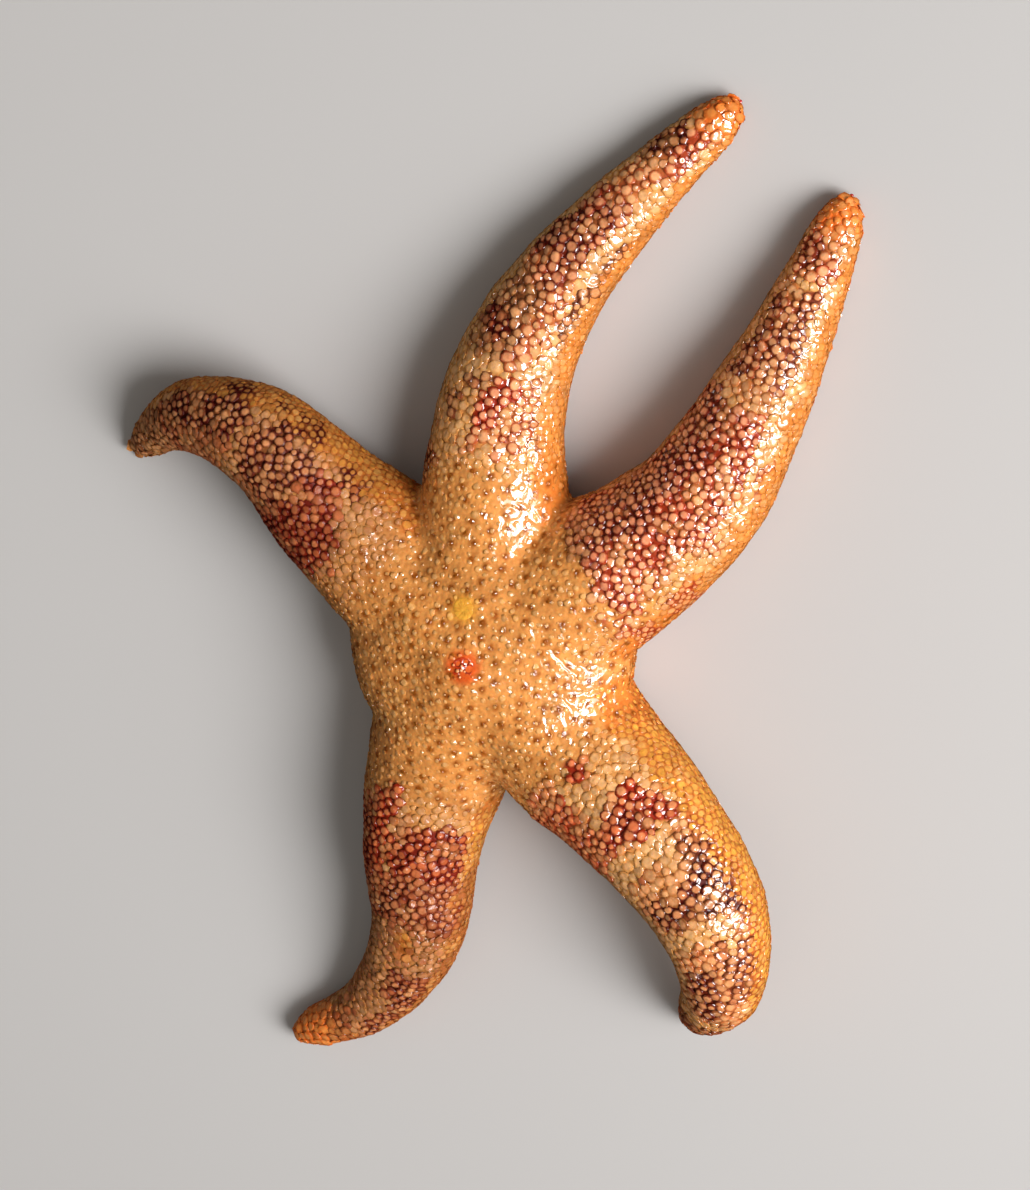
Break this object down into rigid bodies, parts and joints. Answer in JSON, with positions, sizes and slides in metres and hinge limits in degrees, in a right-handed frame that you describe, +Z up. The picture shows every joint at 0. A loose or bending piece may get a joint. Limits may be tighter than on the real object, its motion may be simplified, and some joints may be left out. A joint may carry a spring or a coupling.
{
  "type": "starfish",
  "caption": "Small blood star with tapering rounded arms, some lying flat and some arched, resting on a flat floor as a still life-size model.",
  "frame": {"origin": "on the floor, under the middle of the bounding box", "axes": "+Z up, +Y along the longest extent of the star, towards its longest arm's end"},
  "size_m": [0.0298, 0.0404, 0.0061],
  "materials": {
    "skin": "wet knobbly skin, tan to orange with dark red bands on the arms",
    "tip": "wet smooth orange",
    "sieve_plate": "wet amber, finely grooved",
    "vent": "wet orange red with darker pores",
    "mouth": "wet pale membrane"
  },
  "bodies": {
    "root": {"disc": "skin", "arm_a": "skin", "arm_b": "skin", "arm_c": "skin", "arm_d": "skin", "arm_e": "skin", "tip_a": "tip", "tip_b": "tip", "tip_c": "tip", "tip_d": "tip", "tip_e": "tip", "madreporite": "sieve_plate", "vent": "vent", "mouth": "mouth"}
  },
  "joints": []
}
